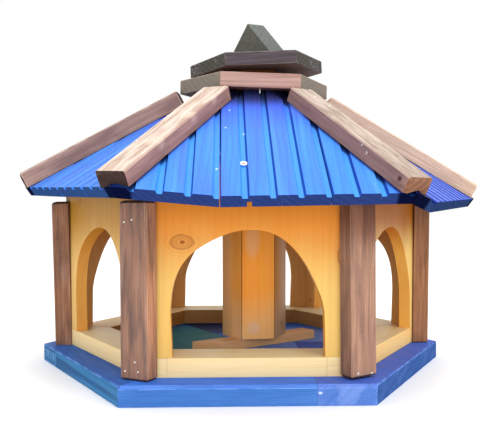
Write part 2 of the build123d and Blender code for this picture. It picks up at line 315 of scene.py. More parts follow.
        # beyond a plane the colour changes; on the roof this is painted shade under the cap plate: (direction, distance
        # where it starts, where it is full, factor)
        z = t.vmath("DOT_PRODUCT", t.attr("pc"), tuple(d))
        zn = t.noise(t.mapping(bc, scale=(9.0, 60.0, 60.0), loc=(2.0, 6.0, 0.0)), detail=2.0)
        z = t.math("ADD", z, t.math("MULTIPLY", t.math("SUBTRACT", zn, 0.5), 0.5 * abs(z1 - z0)))
        k = t.ramp(z, z0, z1)
        col = t.mix(1.0, col, t.mix(k, (1.0, 1.0, 1.0, 1.0), tuple(f) + (1.0,)), "MULTIPLY")
    if painted_hip_shadow is not None:
        # painted shadow along the foot of the hip battens: (half width of the batten, reach, factor)
        hx = t.xyz(lc)
        run = t.math("MULTIPLY", hx[0], -0.4853)
        side = t.math("ABSOLUTE", hx[1])
        dist = t.math("MULTIPLY", t.math("SUBTRACT", run, side), 0.9)
        k = t.ramp(dist, painted_hip_shadow[0], painted_hip_shadow[0] + painted_hip_shadow[1], 1.0, 0.0)
        col = t.mix(1.0, col, t.mix(k, (1.0, 1.0, 1.0, 1.0), tuple(painted_hip_shadow[2]) + (1.0,)), "MULTIPLY")
    for at, size, tint, amount in spots:
        # a mark of a given size around a point of the piece: a stain, bare patch or bruise, and in places painted
        # light, shade or highlight
        d = t.mapping(t.attr("pc"), scale=tuple(1.0 / v for v in size), loc=tuple(-a / v for a, v in zip(at, size)))
        wob = t.noise(t.mapping(t.attr("pc"), scale=(420, 420, 420)), detail=2.0)
        dist = t.math("ADD", t.vmath("LENGTH", d), t.math("MULTIPLY", t.math("SUBTRACT", wob, 0.5), 0.5))
        k = t.math("MULTIPLY", t.ramp(dist, 0.45, 1.05, 1.0, 0.0), amount)
        col = t.mix(k, col, tint)
    t.link(col, t.bsdf.inputs["Base Color"])
    rn = t.ramp(t.math("ADD", t.math("MULTIPLY", fib, 0.6), t.math("MULTIPLY", big, 0.4)), 0.3, 0.7, rough - 0.08, rough + 0.1)
    t.link(rn, t.bsdf.inputs["Roughness"])
    # sawn ends are dull
    t.link(t.ramp(t.attr("eg", "Fac"), 0.0, 1.0, spec, 0.0, smooth=False), t.bsdf.inputs["Specular IOR Level"])
    h = t.math("ADD", t.math("MULTIPLY", fib, 0.55), t.math("MULTIPLY", latewood, 0.5))
    b = t.n("ShaderNodeBump")
    b.inputs["Strength"].default_value = bump
    b.inputs["Distance"].default_value = 0.0006
    t.link(h, b.inputs["Height"])
    t.link(b.outputs[0], t.bsdf.inputs["Normal"])
    return t.mat


def grey(t, v):
    c = t.n("ShaderNodeCombineColor")
    for i in range(3):
        t.link(v, c.inputs[i])
    return c.outputs[0]


# ------------------------------------------------------------------------ meshes
def tidy(mesh, bevel, segments=2, angle=20.0):
    """A node's mesh as clean flat faces with its edges rounded over."""
    bm = bmesh.new()
    bm.from_mesh(mesh)
    bmesh.ops.remove_doubles(bm, verts=bm.verts, dist=2e-6)
    bmesh.ops.dissolve_limit(bm, angle_limit=math.radians(0.6), verts=bm.verts, edges=bm.edges)
    bmesh.ops.recalc_face_normals(bm, faces=bm.faces)
    return round_over(bm, bevel, segments, angle)


def round_over(bm, bevel, segments=2, angle=20.0):
    layer = bm.verts.layers.float.get("edge") or bm.verts.layers.float.new("edge")
    sharp = [e for e in bm.edges if len(e.link_faces) == 2 and e.calc_face_angle(0.0) > math.radians(angle)]
    if bevel > 0 and sharp:
        before = set(bm.verts)
        r = bmesh.ops.bevel(
            bm, geom=sharp, offset=bevel, segments=segments, profile=0.6, affect="EDGES",
            clamp_overlap=True, offset_type="OFFSET", loop_slide=True,
        )
        new_faces = set(r["faces"])
        for v in bm.verts:
            v[layer] = 1.0 if v.link_faces and all(f in new_faces for f in v.link_faces) else 0.0
    return bm


def parts_of(bm):
    """Labels the connected pieces of a mesh."""
    seen, groups = {}, []
    for v in bm.verts:
        if v in seen:
            continue
        stack, g = [v], []
        seen[v] = len(groups)
        while stack:
            a = stack.pop()
            g.append(a)
            for e in a.link_edges:
                b = e.other_vert(a)
                if b not in seen:
                    seen[b] = len(groups)
                    stack.append(b)
        groups.append(g)
    return groups


def finish_mesh(name, bm, mat, frames, body="feeder", nodes=(), pith=None, smooth=True, bc_rot=None):
    """frames: one board frame for the whole mesh, or a function of a part's centre. Writes the board coordinates."""
    bm.verts.ensure_lookup_table()
    groups = parts_of(bm)
    me = bpy.data.meshes.new(name)
    n = len(bm.verts)
    for i, v in enumerate(bm.verts):
        v.index = i
    bc = np.zeros((n, 3), np.float32)
    lc = np.zeros((n, 3), np.float32)
    grain = {}
    rnd = random.Random(sum(ord(c) * (k + 1) for k, c in enumerate(name)))
    for g in groups:
        c = sum((v.co for v in g), Vector()) / len(g)
        m = frames(c) if callable(frames) else frames
        inv = m.inverted()
        off = Vector((rnd.uniform(0, 40), rnd.uniform(-0.03, 0.03), rnd.uniform(0.035, 0.075)))
        if pith is not None:
            off.y, off.z = pith
        for v in g:
            p = inv @ v.co
            lc[v.index] = p
            bc[v.index] = p + off
            grain[v] = (m.col[0].to_3d(), m.col[2].to_3d())
    eg, up, fn = [], [], []
    for f in bm.faces:
        gx, gz = grain[f.verts[0]]
        eg.append(1.0 if abs(f.normal.dot(gx)) > 0.6 else 0.0)
        up.append(max(0.0, min(1.0, (f.normal.dot(gz) - 0.5) / 0.4)))
        fn.extend(f.normal)
        f.smooth = smooth
    edge_layer = bm.verts.layers.float.get("edge")
    edge = np.array([v[edge_layer] if edge_layer else 0.0 for v in bm.verts], np.float32)
    if edge_layer:
        bm.verts.layers.float.remove(edge_layer)
    bm.to_mesh(me)
    bm.free()
    for nm, data in (("bc", bc), ("lc", lc)):
        a = me.attributes.new(nm, "FLOAT_VECTOR", "POINT")
        a.data.foreach_set("vector", data.ravel())
    co = np.zeros(len(me.vertices) * 3, np.float32)
    me.vertices.foreach_get("co", co)
    a = me.attributes.new("pc", "FLOAT_VECTOR", "POINT")
    a.data.foreach_set("vector", co)
    a = me.attributes.new("edge", "FLOAT", "POINT")
    a.data.foreach_set("value", edge)
    a = me.attributes.new("eg", "FLOAT", "FACE")
    a.data.foreach_set("value", np.array(eg, np.float32))
    a = me.attributes.new("top", "FLOAT", "FACE")
    a.data.foreach_set("value", np.array(up, np.float32))
    a = me.attributes.new("fn", "FLOAT_VECTOR", "FACE")
    a.data.foreach_set("vector", np.array(fn, np.float32))
    me.materials.append(mat)
    ob = bpy.data.objects.new(name, me)
    scene.collection.objects.link(ob)
    if smooth:
        wn = ob.modifiers.new("normals", "WEIGHTED_NORMAL")
        wn.keep_sharp = False
        wn.weight = 60
    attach(ob, body)
    if nodes:
        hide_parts(*nodes)
    return ob


def cut(bm, point, normal, gap=0.0):
    """Saws a mesh in two along a plane, with closed faces and a hairline gap."""
    out = bmesh.new()
    for sign in (1, -1):
        half = bm.copy()
        geom = list(half.verts) + list(half.edges) + list(half.faces)
        n = Vector(normal) * sign
        r = bmesh.ops.bisect_plane(half, geom=geom, plane_co=Vector(point) + n * gap / 2, plane_no=n, clear_inner=True, dist=1e-6)
        edges = [e for e in r["geom_cut"] if isinstance(e, bmesh.types.BMEdge)]
        bmesh.ops.contextual_create(half, geom=edges)
        me = bpy.data.meshes.new("tmp")
        half.to_mesh(me)
        half.free()
        out.from_mesh(me)
        bpy.data.meshes.remove(me)
    bm.free()
    bmesh.ops.recalc_face_normals(out, faces=out.faces)
    return out


def plain(node):
    bm = bmesh.new()
    bm.from_mesh(NODES[node].data)
    bmesh.ops.remove_doubles(bm, verts=bm.verts, dist=2e-6)
    bmesh.ops.dissolve_limit(bm, angle_limit=math.radians(0.6), verts=bm.verts, edges=bm.edges)
    bmesh.ops.recalc_face_normals(bm, faces=bm.faces)
    return bm


# --------------------------------------------------------------------- materials
roof_args = dict(
    light=lin(57, 134, 238), dark=lin(40, 90, 208), late=0.5, rings=70, fibre=0.18, blotch=0.6,
    blotch_col=lin(72, 110, 230), blotch_scale=(5.0, 34.0), streak_col=lin(80, 156, 246), streak=0.4, streak_scale=(1.6, 60.0),
    groove=(lin(62, 156, 240), 0.62), end=lin(39, 50, 104), end_mix=0.96, end_rings=0.45,
    wear=lin(96, 150, 240), wear_mix=0.3, dots=(lin(190, 215, 250), 0.72, 0.25), rough=0.42, spec=0.12, bump=0.35,
    # the top of the roof under the cap plate, the feet of the hip battens and the undersides are painted darker:
    # painted shade
    painted_height_shading=(0.262, 0.33, (0.72, 0.42, 0.84)), painted_hip_shadow=(0.0155, 0.0042, (0.12, 0.10, 0.16)),
    zones=[((0, 0, 1), 0.303, 0.321, (0.55, 0.26, 0.16))],
    painted_face_lighting=[((0, 0, -1), 0.5, 0.8, (0.35, 0.35, 0.4))],
)
plinth_args = dict(
    light=lin(69, 119, 191), dark=lin(40, 84, 160), late=0.24, rings=45, fibre=0.14, blotch=0.55,
    blotch_col=lin(52, 98, 174), blotch_scale=(9.0, 30.0), streak_col=lin(92, 140, 214), streak=0.35, streak_scale=(7.0, 60.0),
    top=lin(74, 132, 240), top_mix=0.85, top_streak=lin(64, 108, 222),
    end=lin(118, 158, 226), end_mix=0.2, wear=lin(134, 176, 252), wear_mix=0.75,
    rough=0.5, spec=0.04, bump=0.2,
    # faces turned to the front are painted lighter, those turned to the right darker: painted light and shade
    painted_face_lighting=[((0, -0.7071, 0.7071), 0.95, 0.99, (1.5, 1.22, 1.08)), ((0.866, -0.5, 0), 0.9, 0.97, (0.40, 0.44, 0.54)), ((0.55, -0.32, 0.77), 0.93, 0.99, (0.6, 0.66, 0.8))],
)
sill_args = dict(
    light=lin(247, 220, 164), dark=lin(238, 186, 118), late=0.28, rings=40, fibre=0.05, blotch=0.2,
    blotch_col=lin(242, 206, 144), end=lin(240, 206, 150), end_mix=0.5, rough=0.42, spec=0.12, bump=0.1,
    # the upper faces are painted paler: painted light
    top=lin(255, 236, 186), top_mix=0.85, top_streak=lin(250, 222, 160),
)
wall_args = dict(
    light=lin(233, 192, 108), dark=lin(220, 158, 74), late=0.3, rings=38, fibre=0.04, blotch=0.25,
    blotch_col=lin(228, 178, 92), rough=0.4, spec=0.12, bump=0.08,
)
post_args = dict(
    light=lin(170, 126, 104), dark=lin(108, 72, 56), late=0.35, rings=60, fibre=0.26, blotch=0.7,
    blotch_col=lin(132, 98, 88), blotch_scale=(22.0, 60.0), streak_col=lin(206, 160, 136), streak=0.35, streak_scale=(9.0, 60.0),
    end=lin(70, 46, 36), end_mix=0.7, wear=lin(206, 166, 142), wear_mix=0.35,
    dots=(lin(206, 176, 156), 0.68, 0.3), rough=0.55, spec=0.1, bump=0.4,
)
ridge_args = dict(
    light=lin(172, 132, 122), dark=lin(108, 78, 74), late=0.35, rings=60, fibre=0.26, blotch=0.6,
    blotch_col=lin(124, 92, 86), blotch_scale=(18.0, 50.0), end=lin(42, 34, 33), end_mix=0.92, end_rings=0.3,
    wear=lin(216, 192, 178), wear_mix=0.5, rough=0.5, spec=0.12, bump=0.35,
    # the undersides are painted darker: painted shade
    top=lin(224, 208, 194), top_mix=0.92, top_streak=lin(178, 146, 126), painted_face_lighting=[((0, 0, -1), 0.6, 0.9, (0.4, 0.4, 0.4))],
)

# ------------------------------------------------------------------------ plinth
# on the floor a dark patch at the back: painted shade; a pale patch to the right: painted light
m_plinth = wood("plinth_blue", **{**plinth_args, "spots": [((-0.025, 0.12, 0.0207), (0.10, 0.075, 0.1), lin(22, 32, 72), 0.95), ((0.09, 0.03, 0.0207), (0.09, 0.09, 0.09), lin(132, 160, 236), 0.8)]})
m_plinth_left = wood("plinth_blue_weathered", **{
    **plinth_args, "light": lin(58, 124, 176), "dark": lin(26, 70, 122), "late": 0.75, "blotch_col": lin(44, 108, 158),
    "streak_col": lin(30, 70, 124), "streak": 0.6, "streak_scale": (3.0, 130.0), "top": lin(64, 112, 200), "top_streak": lin(54, 92, 176),
    "end": lin(84, 120, 176), "end_mix": 0.5,
    "spots": [((-0.062, 0.03, 0.0207), (0.125, 0.125, 0.125), lin(44, 122, 128), 1.0), ((-0.2435, -0.02, 0.012), (0.0016, 0.02, 0.006), lin(120, 170, 220), 0.5), ((-0.232, -0.04, 0.012), (0.0012, 0.02, 0.007), lin(110, 160, 214), 0.5)],
})
m_plinth_right = wood("plinth_blue_pale", **{
    **plinth_args, "light": lin(94, 128, 206), "dark": lin(66, 104, 190), "tilt": (0.0, 0.5, 0.3), "late": 0.5,
    "streak_col": lin(132, 160, 226), "streak": 0.5, "streak_scale": (14.0, 60.0), "top": lin(84, 106, 200),
    # faces turned to the front are painted lighter, those turned to the right darker: painted light and shade
    "painted_face_lighting": [((0, -0.7071, 0.7071), 0.95, 0.99, (1.35, 1.2, 1.1)), ((0.866, -0.5, 0), 0.9, 0.97, (0.23, 0.34, 0.45)), ((0.55, -0.32, 0.77), 0.93, 0.99, (0.5, 0.6, 0.75))],
    "spots": [((0.0702, -0.2182, 0.0128), (0.0028, 0.004, 0.0016), lin(204, 220, 246), 0.8)],
})
# the large pale patch on the floor: painted light; the small speck is a chip
m_plinth_front = wood("plinth_blue_front", **{**plinth_args, "spots": [((0.08, -0.04, 0.0207), (0.12, 0.12, 0.12), lin(132, 164, 244), 0.85), ((0.2046, -0.0759, 0.0207), (0.0016, 0.0016, 0.002), lin(214, 226, 250), 0.9)]})
for node, mid in {"base_board_left": 180, "base_board_front": 300, "base_board_back": 60}.items():
    bm = plain(node)
    if node == "base_board_left":
        bm = cut(bm, (-0.2273, -0.0428, 0), (0.5, -0.866, 0), 0.0003)
    bm = round_over(bm, 0.0006)
    fr = frame_m(Vector((0, 0, 0.02)), unit({180: 120, 300: 0, 60: 0}[mid]), Vector((0, 0, 1)))
    mat = {"base_board_left": m_plinth_left, "base_board_front": m_plinth_front, "base_board_back": m_plinth}[node]
    if node == "base_board_front":
        # this side is made up of two boards; the joint shows on the front edge
        bm.free()
        for name, sign in (("plinth_front", -1), ("plinth_front_end", 1)):
            bm = plain(node)
            seam = ((0.0677, -0.218, 0), (1, 0, 0))
            geom = list(bm.verts) + list(bm.edges) + list(bm.faces)
            n = Vector(seam[1]).normalized() * sign
            r = bmesh.ops.bisect_plane(bm, geom=geom, plane_co=Vector(seam[0]) + n * 0.00012, plane_no=n, clear_inner=True, dist=1e-6)
            bmesh.ops.contextual_create(bm, geom=[e for e in r["geom_cut"] if isinstance(e, bmesh.types.BMEdge)])
            bmesh.ops.recalc_face_normals(bm, faces=bm.faces)
            bm = round_over(bm, 0.0006)
            turned = frame_m(Vector((0, 0, 0.02)), unit(-60), Vector((0, 0, 1)))
            finish_mesh(name, bm, m_plinth_right if sign > 0 else m_plinth_front, turned if sign > 0 else fr, nodes=[node])
    else:
        finish_mesh("plinth_" + node[11:], bm, mat, fr, nodes=[node])

# ------------------------------------------------------------------ sills, walls
# amber boards; their upper faces are painted paler too: painted light
SILL_AMBER = {"light": lin(252, 208, 132), "dark": lin(234, 166, 88), "top": lin(255, 226, 168), "top_streak": lin(244, 204, 138), "late": 0.5}
for side, az in SIDES.items():
    n = unit(az)
    r = Vector((-n.y, n.x, 0))
    fr = frame_m(WALL_C + n * WALL_A + Vector((0, 0, SILL_Z0)), r, n)
    bm = plain("sill_" + side)
    if side in ("front", "back"):
        for u in (-0.0832, 0.0797):
            bm = cut(bm, fr @ Vector((u, 0, 0)), r, 0.00015)
    bm = round_over(bm, 0.0013, 3)
    fr = frame_m(WALL_C + n * WALL_A + Vector((0, 0, SILL_Z1)), r, Vector((0, 0, 1)))

    def frames(c, fr=fr):
        return fr

    # the inner sides are painted darker: painted shade
    inner = {"painted_face_lighting": [(tuple(-n), 0.8, 0.95, (0.42, 0.28, 0.18))]}
    mat = wood("sill_pine_" + side, **{**sill_args, **(SILL_AMBER if side in ("front_right", "back_left") else {}), **inner})
    finish_mesh("sill_board_" + side, bm, mat, frames, nodes=["sill_" + side])

K = lin(140, 66, 24)
KNOTS = {
    "front": [(0.1585, 0.0676, 0.0068, 0.0112, 0.8, K), (0.1445, -0.0945, 0.0075, 0.0042, 0.9, K)],
    "back": [(0.19, -0.05, 0.007, 0.009, 0.8, K)],
    "front_left": [(0.203, 0.062, 0.005, 0.006, 0.6, K)],
    "back_right": [(0.0513, -0.0903, 0.0024, 0.0020, 1.0, lin(60, 30, 20))],
    "back_left": [(0.12, 0.095, 0.006, 0.004, 0.7, K)],
}
WALL_TINT_AND_SHADE = {  # stain of each panel, with painted shade under the eaves
    "front": {"painted_height_shading": (0.105, 0.19, (0.98, 0.49, 0.15)), "blotch": 0.4, "blotch_scale": (5.0, 16.0)},
    "front_right": {"light": lin(246, 210, 130), "dark": lin(236, 180, 94), "painted_height_shading": (0.128, 0.185, (0.48, 0.21, 0.06))},
    "back": {}, "back_right": {},
    "front_left": {"light": lin(236, 196, 124), "dark": lin(216, 168, 96), "blotch_col": lin(222, 178, 104), "late": 0.4, "painted_height_shading": (0.105, 0.19, (0.55, 0.40, 0.15))},
    "back_left": {},
}
for side, az in SIDES.items():
    n = unit(az)
    r = Vector((-n.y, n.x, 0))
    fr = frame_m(WALL_C + n * WALL_A, Vector((0, 0, 1)), n)  # x up the wall, y to the left seen from outside
    # under the eaves the panels are painted darker, as are the edge faces of the openings and the inner faces: painted
    # shade
    made = {**wall_args, "painted_height_shading": (0.105, 0.19, (0.98, 0.60, 0.27)), "painted_reveal_shade": (tuple(n), (1.0, 0.72, 0.42)), "painted_face_lighting": [(tuple(-n), 0.8, 0.95, (0.86, 0.68, 0.72))], **WALL_TINT_AND_SHADE[side]}
    mat = wood("wall_pine_" + side, knots=KNOTS.get(side, ()), **made)
    bm = tidy(NODES["wall_" + side].data, 0.0007, angle=28)
    finish_mesh("wall_panel_" + side, bm, mat, fr, nodes=["wall_" + side])

# ------------------------------------------------------------------------- posts
m_post = wood("post_brown", **post_args)
m_post_fl = wood("post_brown_grey", **{
    **post_args, "light": lin(150, 112, 94), "dark": lin(92, 64, 52), "blotch_col": lin(104, 84, 78), "streak_col": lin(188, 148, 128),
    # faces turned to the front right are painted lighter: painted light
    "blotch_scale": (16.0, 90.0), "blotch": 0.85, "painted_face_lighting": [((0.866, -0.5, 0), 0.75, 0.95, (1.6, 1.38, 1.1))],
})
m_post_fr = wood("post_brown_rose", **{
    **post_args, "light": lin(172, 132, 110), "blotch_scale": (14.0, 60.0), "zones": [((0, 0, 1), 0.135, 0.185, (0.55, 0.42, 0.36))],
    # faces turned to the front left are painted darker: painted shade
    "painted_face_lighting": [((-0.866, -0.5, 0), 0.75, 0.95, (0.72, 0.70, 0.66))],
})
m_post_r = wood("post_brown_right", **{**post_args, "light": lin(158, 110, 78), "dark": lin(96, 62, 42), "blotch_col": lin(122, 84, 62), "streak_col": lin(184, 132, 96), "dots": (lin(190, 150, 120), 0.7, 0.2)})
m_post_l = wood("post_brown_left", **{**post_args, "light": lin(150, 106, 80), "dark": lin(92, 60, 46), "blotch_col": lin(112, 84, 74), "late": 0.6})
for corner, az in CORNERS.items():
    n = unit(az)
    fr = frame_m(WALL_C + n * 0.2335, Vector((0, 0, 1)), n)
    bm = tidy(NODES["post_" + corner].data, 0.0012, 3, angle=22)
    mat = {"left": m_post_l, "back_left": m_post_l, "front_left": m_post_fl, "front_right": m_post_fr, "right": m_post_r}.get(corner, m_post)
    finish_mesh("post_batten_" + corner, bm, mat, fr, nodes=["post_" + corner])

# -------------------------------------------------------------------------- roof
for side, az in SIDES.items():
    # each slope: painted light and shade on the grooves: the near wall of a groove is painted bright, the far one dark
    e = unit(az + 90)
    roof_painted_face_lighting = list(roof_args["painted_face_lighting"]) + [((-e.x, -e.y, 0), 0.7, 0.85, (0.22, 0.26, 0.42)), ((e.x, e.y, 0), 0.7, 0.85, (1.2, 1.3, 1.1))]
    more = {"painted_face_lighting": roof_painted_face_lighting}
    if side == "front":
        more["spots"] = [
            ((-0.0306, -0.212, 0.2305), (0.0016, 0.002, 0.002), lin(200, 222, 250), 0.9),
            ((-0.0025, -0.1504, 0.2707), (0.0014, 0.002, 0.002), lin(190, 214, 250), 0.9),
            ((-0.0214, -0.1464, 0.2781), (0.0013, 0.002, 0.002), lin(190, 214, 250), 0.8),
            ((-0.0168, -0.1114, 0.3013), (0.0013, 0.002, 0.002), lin(190, 214, 250), 0.8),
            ((0.062, -0.098, 0.305), (0.017, 0.03, 0.03), lin(84, 120, 226), 0.45),
        ]
    if side in ("front_right", "back_right"):
        more.update(light=lin(58, 98, 212), dark=lin(36, 60, 166), blotch_col=lin(80, 108, 216), streak_col=lin(92, 130, 232), groove=(lin(40, 62, 150), 0.85), end=lin(42, 60, 98))
    if side in ("front_left", "back_left"):
        more.update(light=lin(62, 124, 218), blotch_col=lin(78, 120, 216), end=lin(44, 72, 120), groove=(lin(40, 92, 200), 0.7))
    sm = slope_m(az)
    fr = sm @ Matrix.Rotation(math.radians(90), 4, "Z")  # x up the slope
    bm = tidy(NODES["roof_" + side].data, 0.0006, angle=22)
    mat = wood("roof_blue_" + side, **{**roof_args, **more})
    finish_mesh("roof_boards_" + side, bm, mat, fr, nodes=["roof_" + side])

m_ridge = wood("ridge_brown", **ridge_args)
m_ridge_r = wood("ridge_brown_right", **{**ridge_args, "light": lin(152, 118, 108), "dark": lin(94, 68, 64), "blotch_col": lin(112, 86, 82), "top": lin(200, 182, 168), "top_streak": lin(134, 114, 98), "end": lin(138, 96, 72), "end_rings": 0.6,
    "spots": [((0.1403, -0.2418, 0.2201), (0.0028, 0.004, 0.0034), lin(70, 44, 36), 0.9), ((0.114, -0.1968, 0.2557), (0.0012, 0.002, 0.0012), lin(220, 200, 186), 0.8), ((0.1174, -0.2027, 0.2473), (0.0016, 0.002, 0.002), lin(214, 196, 182), 0.7)]})
m_ridge_side = wood("ridge_rose", **{**ridge_args, "light": lin(208, 178, 154), "dark": lin(164, 126, 106), "blotch_col": lin(190, 152, 130), "top": lin(222, 206, 180), "end": lin(200, 160, 130)})
m_ridge_l = wood("ridge_brown_left", **{**ridge_args, "light": lin(164, 132, 122), "dark": lin(104, 78, 72), "blotch_col": lin(124, 98, 94), "blotch": 0.75, "top": lin(196, 196, 180)})
m_ridge_fl = wood("ridge_brown_front", **{**ridge_args, "spots": [
    ((-0.0905, -0.2045, 0.2575), (0.012, 0.010, 0.012), lin(240, 218, 194), 0.28), ((-0.0595, -0.1555, 0.2905), (0.011, 0.010, 0.012), lin(238, 214, 190), 0.28),
    ((-0.0345, -0.122, 0.3145), (0.008, 0.008, 0.01), lin(238, 216, 194), 0.25)]})
for corner, az in CORNERS.items():
    a = math.radians(az)
    down = Vector((math.cos(a) * math.cos(HIP), math.sin(a) * math.cos(HIP), -math.sin(HIP)))
    up = Vector((math.cos(a) * math.sin(HIP), math.sin(a) * math.sin(HIP), math.cos(HIP)))
    fr = ROOF_M @ frame_m(Vector((0, 0, APEX)) + up * 0.0132, down, up)
    bm = tidy(NODES["ridge_" + corner].data, 0.0013, 3, angle=22)
    mat = {"front_right": m_ridge_r, "front_left": m_ridge_fl, "right": m_ridge_side, "left": m_ridge_l, "back_left": m_ridge_l, "back_right": m_ridge_r}.get(corner, m_ridge)
    finish_mesh("ridge_batten_" + corner, bm, mat, fr, nodes=["ridge_" + corner])

# ------------------------------------------------------------- plates, lid, knob
m_plate = wood(
    "plate_faded", light=lin(184, 148, 136), dark=lin(128, 90, 80), late=0.45, rings=60, fibre=0.15, blotch=0.3,
    # the underside is painted darker: painted shade
    blotch_col=lin(168, 130, 118), streak_col=lin(138, 94, 84), streak=0.6, painted_face_lighting=[((0, 0, -1), 0.5, 0.8, (0.7, 0.5, 0.55))], streak_scale=(2.0, 150.0),
    end=lin(128, 122, 110), end_mix=0.9, end_rings=0.25, wear=lin(220, 196, 180), wear_mix=0.4, rough=0.55,
)
bm = tidy(NODES["cap_plate"].data, 0.0007, angle=22)
finish_mesh("cap_plate_board", bm, m_plate, PLATE_M @ frame_m(Vector((0, 0, 0.008)), Vector((1, 0, 0)), Vector((0, 0, 1))), nodes=["cap_plate"])

lid_args = dict(
    light=lin(88, 78, 82), dark=lin(44, 38, 38), late=0.5, rings=60, fibre=0.34, blotch=0.5,
    blotch_col=lin(66, 58, 60), end=lin(84, 84, 74), end_mix=0.75, end_rings=0.5, wear=lin(170, 162, 150), wear_mix=0.4,
    dots=(lin(166, 152, 168), 0.58, 0.5), rough=0.62, spec=0.1, bump=0.5,
    # the underside is painted lighter: painted light
    painted_face_lighting=[((0, 0, -1), 0.5, 0.8, (1.7, 1.5, 1.2))],
)
m_lid = wood("lid_dark", **lid_args)
bm = tidy(NODES["lid_board"].data, 0.0009, angle=22)
finish_mesh("lid_plank", bm, m_lid, LID_M @ frame_m(Vector((0, 0, 0.007)), Vector((1, 0, 0)), Vector((0, 0, 1))), body="lid", nodes=["lid_board"], pith=(0.06, 0.02))
bm = tidy(NODES["lid_plug"].data, 0.0007, angle=22)
finish_mesh("lid_plug_block", bm, m_lid, LID_M @ frame_m(Vector((0, 0, -0.008)), Vector((1, 0, 0)), Vector((0, 0, 1))), body="lid", nodes=["lid_plug"])
m_knob = wood(
    "knob_dark", light=lin(84, 84, 76), dark=lin(52, 52, 46), late=0.3, rings=60, fibre=0.25, blotch=0.4,
    blotch_col=lin(70, 70, 60), end=lin(120, 124, 122), end_mix=0.85, end_rings=0.25, wear=lin(150, 150, 145), wear_mix=0.3,
    dots=(lin(140, 140, 135), 0.64, 0.25), rough=0.62, spec=0.1, bump=0.4,
    # the face turned to the front right and up is painted lighter: painted light
    painted_face_lighting=[((0.43, -0.83, 0.36), 0.9, 0.965, (1.75, 1.9, 2.2))],
)
bm = tidy(NODES["lid_knob"].data, 0.0009, angle=22)
finish_mesh("knob_offcut", bm, m_knob, LID_M @ frame_m(Vector((0, 0, 0.02)), Vector((0.8, 0.1, 0.6)), Vector((-0.6, 0, 0.8))), body="lid", nodes=["lid_knob"])

# -------------------------------------------------------------------------- silo
silo_args = dict(
    light=lin(250, 172, 84), dark=lin(222, 132, 52), late=0.35, rings=38, fibre=0.07, blotch=0.4,
    blotch_col=lin(244, 180, 100), end=lin(190, 130, 70), end_mix=0.5, wear=lin(120, 66, 34), wear_mix=0.5, rough=0.42,
    # paler low down: painted light; dark at the top under the lid: painted shade; the stave facing the front painted
    # lighter and the side staves darker: painted light and shade
    painted_height_shading=(0.10, 0.035, (1.0, 1.45, 4.2)), painted_height_shading2=(0.298, 0.316, (0.07, 0.05, 0.04)),
    painted_face_lighting=[((0.092, -0.996, 0), 0.9, 0.97, (1.25, 1.08, 0.62)), ((-0.816, -0.578, 0), 0.9, 0.97, (0.84, 0.80, 0.58)), ((0.909, -0.418, 0), 0.9, 0.97, (0.52, 0.50, 0.42))],
    spots=[
        # a pale patch and a pale round spot: painted highlights; then a knot and the dark joints at two stave edges
        ((0.012, -0.044, 0.153), (0.011, 0.014, 0.026), lin(246, 206, 158), 0.42),
        ((0.0135, -0.0438, 0.0464), (0.0095, 0.012, 0.0095), lin(238, 214, 186), 0.5),
        ((0.0495, -0.0191, 0.0487), (0.0022, 0.0024, 0.003), lin(90, 50, 30), 0.9),
        ((-0.0014, -0.0447, 0.15), (0.0009, 0.003, 0.2), lin(110, 58, 24), 0.8),
        ((0.0388, -0.0410, 0.15), (0.0009, 0.003, 0.2), lin(110, 58, 24), 0.8),
    ],
)
m_silo = wood("silo_amber", **silo_args)
bm = tidy(NODES["silo_tube"].data, 0.0005, angle=22)


def silo_frames(c):
    d = c - SILO_C
    k = round((math.degrees(math.atan2(d.y, d.x)) - 35.3) / 60)
    az = 35.3 + 60 * k
    n = unit(az)
    return frame_m(SILO_C + n * 0.0355, Vector((0, 0, 1)), n)


finish_mesh("silo_staves", bm, m_silo, silo_frames, nodes=["silo_tube"])
m_bearer = wood(
    "bearer_wood", light=lin(244, 192, 134), dark=lin(214, 150, 94), late=0.4, rings=50, fibre=0.1, blotch=0.2,
    end=lin(206, 160, 116), end_mix=0.6, rough=0.5,
)
bm = tidy(NODES["silo_bearer"].data, 0.0007, angle=22)
finish_mesh("bearer_batten", bm, m_bearer, frame_m(Vector((0.017, -0.008, 0.032)), unit(33), Vector((0, 0, 1))), nodes=["silo_bearer"])

# ------------------------------------------------------------- nails and a screw
def metal(name, colour, rough, metallic=0.0, stain=None):
    t = Tree(name)
    nz = t.noise(t.mapping(t.attr("pc"), scale=(900, 900, 900)), detail=3.0)
    col = t.mix(t.math("MULTIPLY", t.ramp(nz, 0.45, 0.65), 0.6), colour, stain or tuple(c * 0.6 for c in colour[:3]) + (1.0,))
    t.link(col, t.bsdf.inputs["Base Color"])
    t.bsdf.inputs["Roughness"].default_value = rough
    t.bsdf.inputs["Metallic"].default_value = metallic
    return t.mat


m_nail = metal("nail_zinc", lin(226, 222, 216), 0.35, 0.2, lin(170, 150, 136))
m_nail_dull = metal("nail_dull", lin(150, 140, 132), 0.45, 0.3, lin(96, 72, 60))
m_screw = metal("screw_coated", lin(240, 236, 240), 0.3, 0.0, lin(206, 196, 200))
m_rust = metal("screw_recess", lin(132, 66, 58), 0.7, 0.0, lin(70, 34, 30))


